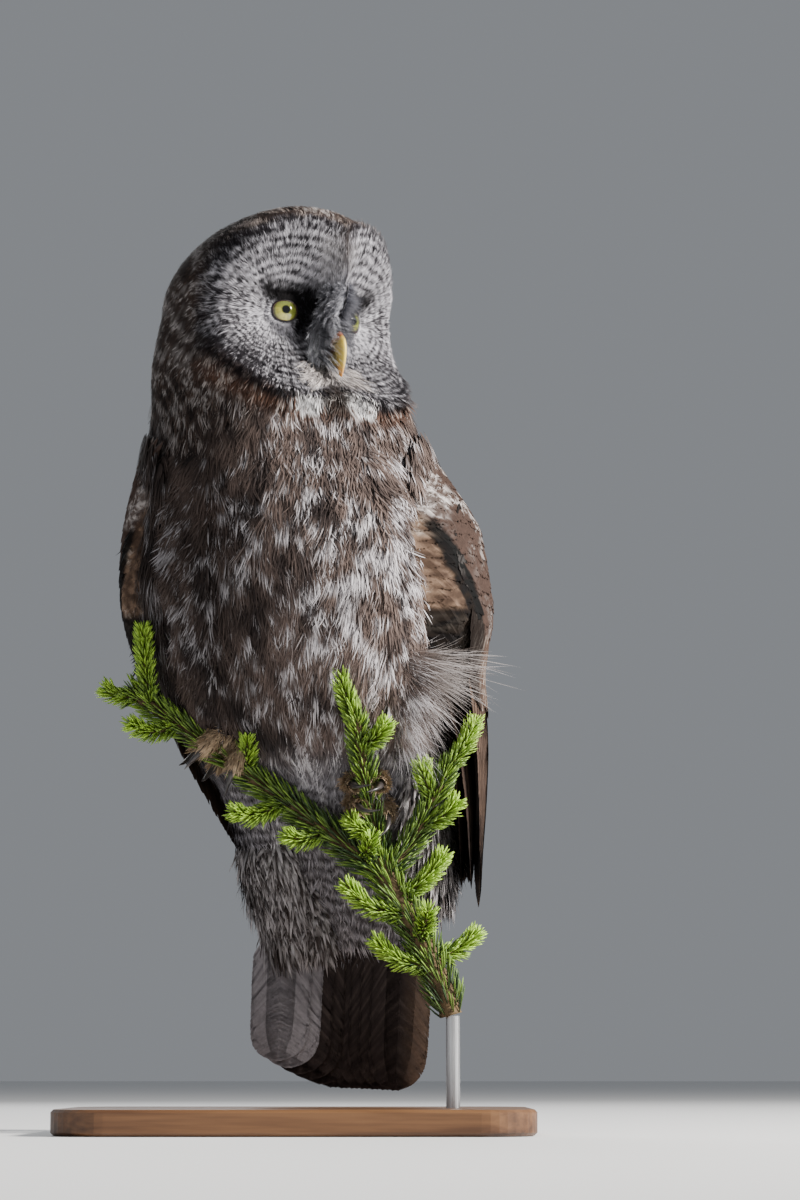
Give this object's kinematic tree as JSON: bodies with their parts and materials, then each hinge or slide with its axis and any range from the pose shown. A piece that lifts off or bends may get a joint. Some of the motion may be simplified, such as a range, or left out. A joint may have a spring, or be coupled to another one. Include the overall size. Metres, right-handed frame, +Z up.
{
  "type": "great grey owl, life-size perched model",
  "caption": "Large grey owl with a round ringed face, folded wings and a long tail, gripping a cut spruce branch above a flat display base.",
  "frame": {"origin": "centre of the display base's underside", "axes": "+Z up, -Y the way the owl's body faces, +X towards the owl's left side"},
  "size_m": [0.34, 0.26, 0.6738],
  "materials": {
    "plumage": "soft grey-brown body feathers with pale streaks, matt",
    "face": "fine ringed grey face feathers, matt",
    "flight": "barred brown wing and tail feathers, faint sheen",
    "toes": "short pale brown toe feathers, matt",
    "horn": "smooth yellow horn, satin gloss",
    "claw": "near-black horn, satin gloss",
    "eye": "wet gloss, greenish yellow iris",
    "bark": "rough spruce bark",
    "steel": "brushed",
    "wood": "dark stained wood, satin"
  },
  "bodies": {
    "root": {"head": "face", "neck": "plumage", "torso": "plumage", "tail_coverts": "plumage", "eye_right": "eye", "eye_left": "eye", "bill_upper": "horn", "bill_lower": "horn", "wing_right": "flight", "wing_left": "flight", "tail": "flight", "leg_right": "plumage", "leg_left": "plumage", "foot_right": "toes", "foot_left": "toes", "perch_stem": "bark", "perch_branch": "bark", "perch_twig_middle": "bark", "perch_twig_right": "bark", "stand_rod": "steel", "stand_base": "wood", "claw_right_inner": "claw", "claw_right_middle": "claw", "claw_right_outer": "claw", "claw_right_hind": "claw", "claw_left_inner": "claw", "claw_left_middle": "claw", "claw_left_outer": "claw", "claw_left_hind": "claw"}
  },
  "joints": []
}
